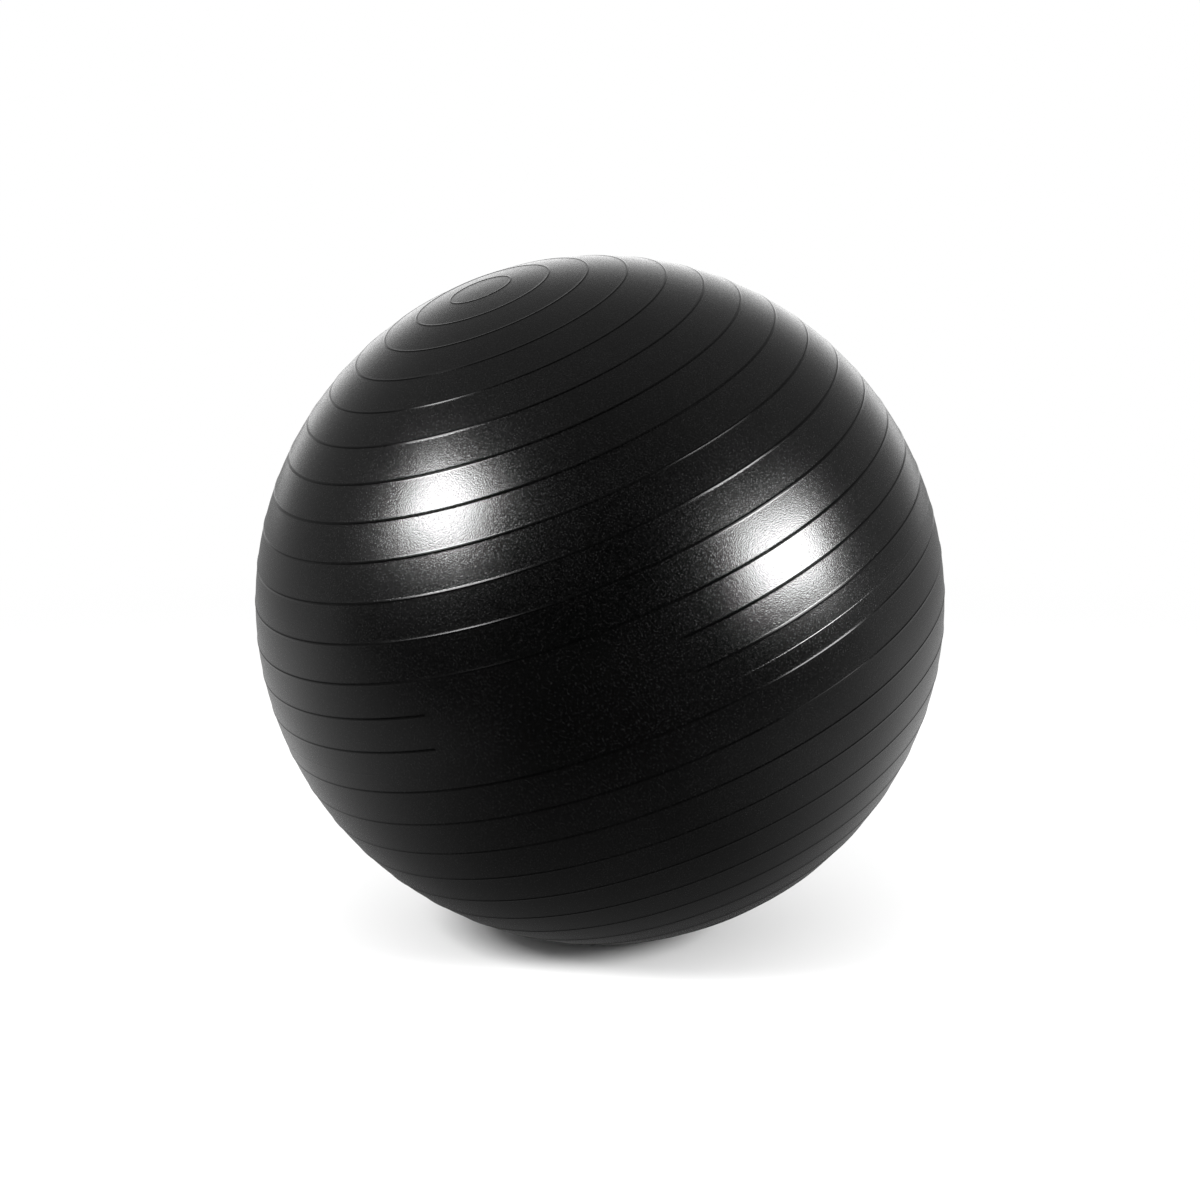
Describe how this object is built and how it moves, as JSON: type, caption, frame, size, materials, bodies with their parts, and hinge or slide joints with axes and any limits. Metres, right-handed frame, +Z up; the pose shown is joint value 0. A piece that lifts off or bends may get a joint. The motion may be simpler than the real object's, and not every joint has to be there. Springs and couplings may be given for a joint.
{
  "type": "exercise ball",
  "caption": "Large inflatable exercise ball with fine raised rings around one axis, a plain label panel and a plugged air valve.",
  "frame": {"origin": "on the floor, below the middle of the ball, at the centre of the patch that its weight presses flat", "axes": "+Z up; the ball lies so that its rings' axis leans 22.6 degrees from the vertical, towards -X and a little towards -Y; the plain label panel faces -Y and the valve faces +Y and -X"},
  "size_m": [0.6504, 0.6502, 0.6485],
  "materials": {
    "skin": "satin black soft PVC with a fine moulded grain",
    "valve_seat": "smooth satin black soft PVC",
    "plug": "satin off-white polyethylene"
  },
  "bodies": {
    "ball": {"ball_shell": "skin", "valve_insert": "valve_seat"},
    "plug": {"valve_plug": "plug"}
  },
  "joints": [
    {"name": "plug_pull", "type": "slide", "parent": "ball", "child": "plug", "axis": [-0.4905, 0.8632, 0.1193], "range_m": [0, 0.045]}
  ]
}
